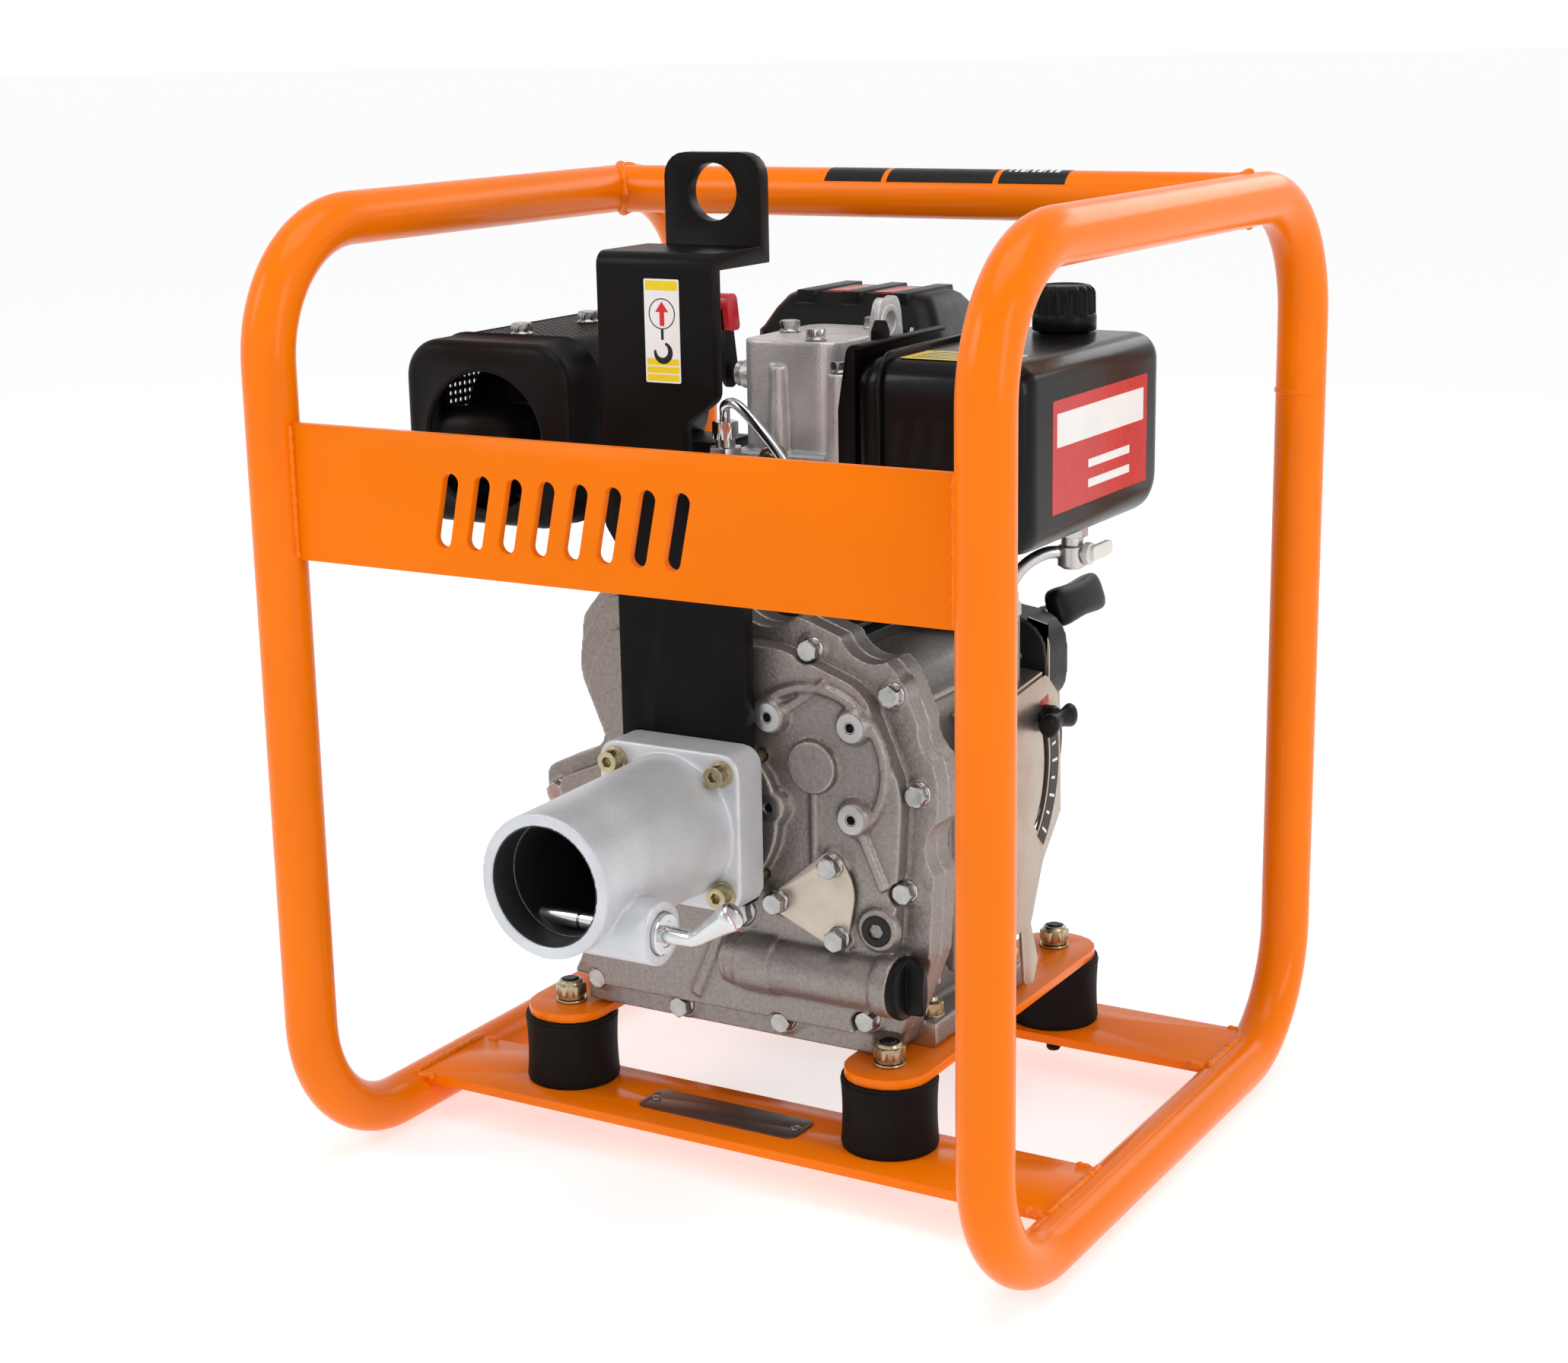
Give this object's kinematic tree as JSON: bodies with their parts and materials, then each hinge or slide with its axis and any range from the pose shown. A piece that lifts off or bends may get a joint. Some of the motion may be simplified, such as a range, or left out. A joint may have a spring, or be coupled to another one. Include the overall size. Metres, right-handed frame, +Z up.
{
  "type": "flexible shaft drive unit",
  "caption": "Small air-cooled diesel drive unit on rubber mounts in an open tubular roll frame, with a round front coupling for a flexible drive shaft.",
  "frame": {"origin": "middle of the whole unit's footprint, on the floor under the frame's bottom tubes", "axes": "+Z up, -Y towards the drive side where the coupling is, +X to the right for a person looking at the coupling"},
  "size_m": [0.496, 0.526, 0.62],
  "materials": {
    "orange_paint": "glossy",
    "black_paint": "satin",
    "dark_grey_paint": "satin",
    "silver_paint": "satin",
    "cast_aluminium": "cast",
    "machined_steel": "machined",
    "yellow_zinc": "yellow zinc plated",
    "bright_zinc": "zinc plated",
    "dark_steel": "black oxide",
    "chrome": "polished",
    "rubber": "matte",
    "black_plastic": "satin",
    "tank_plastic": "glossy",
    "red_rubber": "satin",
    "white_nylon": "satin",
    "rope": "braided",
    "cast_iron": "machined"
  },
  "bodies": {
    "frame": {"left_hoop": "orange_paint", "right_hoop": "orange_paint", "rear_cross_tube": "orange_paint", "front_panel": "orange_paint", "front_base_bar": "orange_paint", "rear_base_bar": "orange_paint", "id_plate": "machined_steel", "id_plate_rivets": "bright_zinc", "front_left_rubber_mount": "rubber", "rear_left_rubber_mount": "rubber", "front_right_rubber_mount": "rubber", "rear_right_rubber_mount": "rubber", "mount_studs": "dark_steel", "mount_washers": "yellow_zinc", "mount_nuts": "yellow_zinc", "left_engine_rail": "orange_paint", "right_engine_rail": "orange_paint", "foot_bolts": "yellow_zinc", "lifting_bracket": "black_paint", "coupling_housing": "silver_paint", "coupling_screws": "yellow_zinc", "crankcase": "cast_aluminium", "gear_cover": "cast_aluminium", "engine_bolts": "bright_zinc", "cover_plate": "bright_zinc", "sump_plug": "dark_steel", "cylinder_barrel": "cast_iron", "piston": "cast_aluminium", "fan_case": "dark_grey_paint", "side_shroud": "cast_aluminium", "recoil_housing": "black_paint", "cylinder_head": "cast_aluminium", "rocker_cover": "cast_aluminium", "injector": "machined_steel", "injector_pipe": "machined_steel", "muffler_body": "black_paint", "muffler_end_cap": "black_paint", "muffler_guard": "black_paint", "exhaust_elbow": "black_paint", "air_cleaner": "black_plastic", "fuel_tank": "tank_plastic", "tank_bracket": "black_paint", "lifting_eye": "cast_aluminium", "fuel_cock": "machined_steel", "speed_panel": "bright_zinc"},
    "crank_train": {"crankshaft": "machined_steel", "drive_dog": "dark_steel", "flywheel": "cast_iron"},
    "cam_train": {"camshaft": "machined_steel"},
    "lock_lever": {"lock_lever": "chrome"},
    "decompression_lever": {"decompression_lever": "dark_steel", "decompression_grip": "red_rubber"},
    "fuel_cap": {"fuel_cap": "black_plastic"},
    "oil_cap": {"oil_filler_cap": "black_plastic"},
    "speed_lever": {"speed_lever": "bright_zinc"},
    "speed_knob": {"speed_knob": "black_plastic"},
    "fuel_cock_lever": {"fuel_cock_lever": "white_nylon"},
    "starter_handle": {"starter_grip": "black_plastic"},
    "recoil_reel": {"recoil_reel": "black_plastic", "starter_rope": "rope"}
  },
  "joints": [
    {"name": "crank_spin", "type": "hinge", "parent": "frame", "child": "crank_train", "pos_m": [-0.017, 0.015, 0.231], "axis": [0, 1, 0], "continuous": true},
    {"name": "cam_spin", "type": "hinge", "parent": "frame", "child": "cam_train", "pos_m": [0.057, -0.045, 0.266], "axis": [0, 1, 0], "continuous": true},
    {"name": "lock_lever_turn", "type": "hinge", "parent": "frame", "child": "lock_lever", "pos_m": [0.03, -0.233, 0.204], "axis": [1, 0, 0], "range_deg": [0, 180]},
    {"name": "decompression_turn", "type": "hinge", "parent": "frame", "child": "decompression_lever", "pos_m": [-0.05, 0.015, 0.481], "axis": [1, 0, 0], "range_deg": [0, 40], "stiffness_Nm_per_rad": 0.05},
    {"name": "fuel_cap_turn", "type": "hinge", "parent": "frame", "child": "fuel_cap", "pos_m": [0.116, 0.133, 0.515], "axis": [0, 0, 1], "range_deg": [0, 90]},
    {"name": "oil_cap_turn", "type": "hinge", "parent": "frame", "child": "oil_cap", "pos_m": [0.12, -0.087, 0.136], "axis": [1, 0, 0], "range_deg": [0, 360]},
    {"name": "speed_lever_turn", "type": "hinge", "parent": "frame", "child": "speed_lever", "pos_m": [0.125, 0.02, 0.236], "axis": [1, 0, 0], "range_deg": [-62, 0]},
    {"name": "speed_knob_turn", "type": "hinge", "parent": "speed_lever", "child": "speed_knob", "pos_m": [0.138, 0.07474, 0.26511], "axis": [1, 0, 0], "range_deg": [0, 360]},
    {"name": "fuel_cock_turn", "type": "hinge", "parent": "frame", "child": "fuel_cock_lever", "pos_m": [0.157, 0.081, 0.372], "axis": [1, 0, 0], "range_deg": [-90, 0]},
    {"name": "starter_pull", "type": "slide", "parent": "frame", "child": "starter_handle", "axis": [0.9397, 0, 0.342], "range_m": [0, 0.5], "stiffness_N_per_m": 12, "springref_m": -0.3},
    {"name": "recoil_spin", "type": "hinge", "parent": "frame", "child": "recoil_reel", "pos_m": [-0.017, 0.163, 0.231], "axis": [0, 1, 0], "range_deg": [0, 700]}
  ],
  "couplings": [
    {"joint": "cam_spin", "follows": "crank_spin", "ratio": -0.5},
    {"joint": "recoil_spin", "follows": "starter_pull", "rad_per_m": 23.809}
  ]
}
